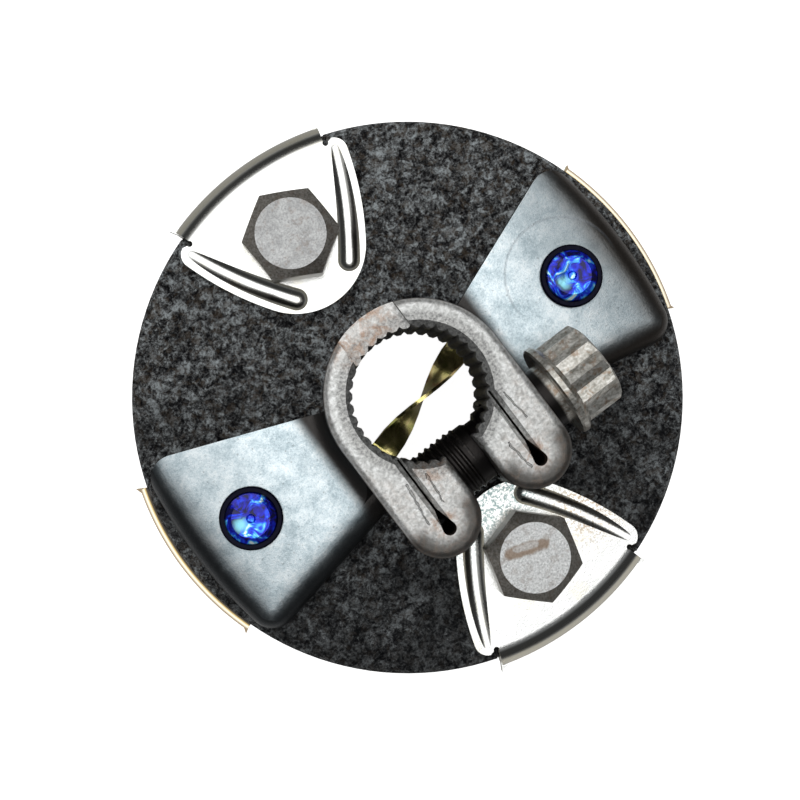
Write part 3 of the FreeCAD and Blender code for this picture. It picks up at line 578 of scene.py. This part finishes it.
def disc_pieces(material):
    """The disc cut into eight sectors with rows of edges across them; the sectors by the pins and by the
    bolts are baked alike.
    """
    station = centre("stop_pin_right").x
    to_diagonal = station / math.sqrt(2)
    reach = DISC_HIGH.x
    bend_rows = 34
    pieces = []
    for k in range(8):
        a0 = math.radians(45 * k)
        a1 = math.radians(45 * (k + 1))
        at_pin = k in (0, 3, 4, 7)
        mount_angle, diagonal = (a1, a0) if k % 2 else (a0, a1)
        mount = heading(mount_angle) * station
        foot = heading(diagonal) * to_diagonal
        towards = (foot - mount).normalized()
        bm = bmesh.new()
        bm.from_mesh(NODES["flex_disc"].data)
        bmesh.ops.remove_doubles(bm, verts=bm.verts, dist=1e-6)
        keep_side(bm, (-math.sin(a0), math.cos(a0), 0))
        keep_side(bm, (math.sin(a1), -math.cos(a1), 0))
        add_cuts(bm, towards, -reach, reach, bend_rows)
        piece = mesh_object(f"disc_sector_{k + 1}", bm)
        shade(piece)
        paint(piece, material)
        if at_pin:
            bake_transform(piece)
        else:
            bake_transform(piece)
        pieces.append(piece)
    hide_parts("flex_disc")
    return pieces


def thread(name, axis, start, turns, size, per_inch, material, body):
    """Helical V ridge of an inch thread, standing on a plain shank and fading out at both ends."""
    pitch = INCH / per_inch
    crest_r = size * INCH / 2
    root_r = crest_r - 0.435 * pitch        # sunk into the shank
    axis = Vector(axis).normalized()
    side = Vector((0, 1, 0)) if abs(axis.y) < 0.9 else Vector((1, 0, 0))
    u = axis.cross(side).normalized()
    v = axis.cross(u)
    bm = bmesh.new()
    per_turn = 40
    total = int(turns * per_turn)
    rows = []
    for k in range(total + 1):
        t = k / per_turn
        ends = min(1.0, t / 0.6, (total - k) / per_turn / 0.6)
        crest = root_r + (crest_r - root_r) * ends
        radial = u * math.cos(2 * math.pi * t) + v * math.sin(2 * math.pi * t)
        at = Vector(start) + axis * (pitch * t)
        row = [
            bm.verts.new(at + radial * root_r - axis * pitch * 0.46),
            bm.verts.new(at + radial * crest - axis * pitch * 0.07),
            bm.verts.new(at + radial * crest + axis * pitch * 0.07),
            bm.verts.new(at + radial * root_r + axis * pitch * 0.46),
        ]
        rows.append(row)
    for one, two in zip(rows, rows[1:]):
        for j in range(4):
            bm.faces.new((one[j], one[(j + 1) % 4], two[(j + 1) % 4], two[j]))
    bm.faces.new(rows[0])
    bm.faces.new(rows[-1][::-1])
    bmesh.ops.recalc_face_normals(bm, faces=bm.faces)
    piece = mesh_object(name, bm)
    shade(piece, 35)
    paint(piece, material)
    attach(piece, body)
    return piece


# ---------------------------------------------------------------- stage

def floor():
    """Plain white table under the bolts' ends; it glows to the camera alone and keeps its shadows."""
    bm = bmesh.new()
    bmesh.ops.create_grid(bm, x_segments=1, y_segments=1, size=1.5)
    plane = mesh_object("stage_floor", bm)
    plane.location.z = FLOOR_Z
    s = Shader("stage_white", Roughness=0.9, Specular_IOR_Level=0.1)
    s.bsdf.inputs["Base Color"].default_value = (0.93, 0.925, 0.92, 1)
    glow = 0.93
    light = s.tree.nodes.new("ShaderNodeLightPath")
    s.bsdf.inputs["Emission Color"].default_value = (1, 1, 1, 1)
    s.put(s.times(light.outputs["Is Camera Ray"], glow), s.bsdf.inputs["Emission Strength"])
    plane.data.materials.append(s.material)


def softbox():
    """Wide round lamp overhead, a little to the picture's upper left."""
    data = bpy.data.lights.new("overhead", "AREA")
    data.shape = "DISK"
    data.size = 0.80
    data.energy = 2.6
    lamp = bpy.data.objects.new("overhead", data)
    where = DISC_MID + RIGHT * -0.10 + UP * 0.12 + Vector((0, 0, 0.60))
    lamp.location = where
    lamp.rotation_euler = (DISC_MID - where).to_track_quat("-Z", "Y").to_euler()
    bpy.context.scene.collection.objects.link(lamp)


def camera():
    """Hand-held view from nearly overhead, tipped a little."""
    eye = Vector((-12.41, 5.25, 218.9)) * MM
    tip = Matrix.Rotation(-0.0548, 3, UP) @ Matrix.Rotation(0.0134, 3, RIGHT)
    data = bpy.data.cameras.new("camera")
    data.sensor_width = 36
    data.lens = 63.35
    data.clip_start = 0.01
    shot = bpy.data.objects.new("camera", data)
    axes = Matrix((tip @ RIGHT, tip @ UP, tip @ Vector((0, 0, 1)))).transposed()
    shot.matrix_world = Matrix.Translation(eye) @ axes.to_4x4()
    bpy.context.scene.collection.objects.link(shot)
    bpy.context.scene.camera = shot


def world():
    """Dim even surroundings."""
    sky = bpy.data.worlds.new("studio")
    sky.use_nodes = True
    background = sky.node_tree.nodes["Background"]
    background.inputs["Color"].default_value = (0.96, 0.98, 1.0, 1)
    background.inputs["Strength"].default_value = 0.16
    bpy.context.scene.world = sky


def dress():
    """Every CAD node gets its material, and the disc is cut into its sector pieces."""
    looks = {
        "fabric": fabric(), "hub": strap_steel(), "zinc": bright_zinc(), "gold": gold_zinc(),
        "bolt": bolt_steel(), "pinch": pinch_steel(), "thread": black_thread(),
        "plain": plain_steel(), "blue": blue_paint(),
    }
    plan = {
        "clamp_hub": "hub", "pinch_bolt": "pinch", "ground_strap": "gold",
        "stop_pin": "blue", "pin_sleeve": "plain", "rear_plate": "gold", "front_plate": "zinc",
        "column_bolt": "bolt", "bolt_sleeve": "plain", "lock_washer": "plain",
        "column_nut": "plain", "flex_disc": "fabric",
    }
    for name, node in NODES.items():
        look = next(plan[key] for key in plan if name.startswith(key))
        paint(node, looks[look])
    disc_pieces(looks["fabric"])
    return looks


def threads(looks):
    """3/8-24 thread on the pinch bolt and 5/16-18 threads on the column bolts."""
    pinch = centre("pinch_bolt")
    tip = 1.3 * MM      # plain chamfered point of each bolt
    pinch_turns = 10.2
    bolt_turns = 6.7
    start = (PINCH_LOW.x + tip, pinch.y, pinch.z)
    thread("pinch_bolt_thread", (1, 0, 0), start, pinch_turns, 3 / 8, 24,
           looks["thread"], "pinch_bolt")
    for name in ("upper", "lower"):
        bolt = centre("column_bolt_" + name)
        start = (0, bolt.y, FLOOR_Z + tip)
        thread(f"column_bolt_thread_{name}", (0, 0, 1), start, bolt_turns, 5 / 16, 18,
               looks["plain"], "column_side")


bpy.context.scene.view_settings.view_transform = "Standard"
floor()
world()
softbox()
camera()
looks = dress()
threads(looks)
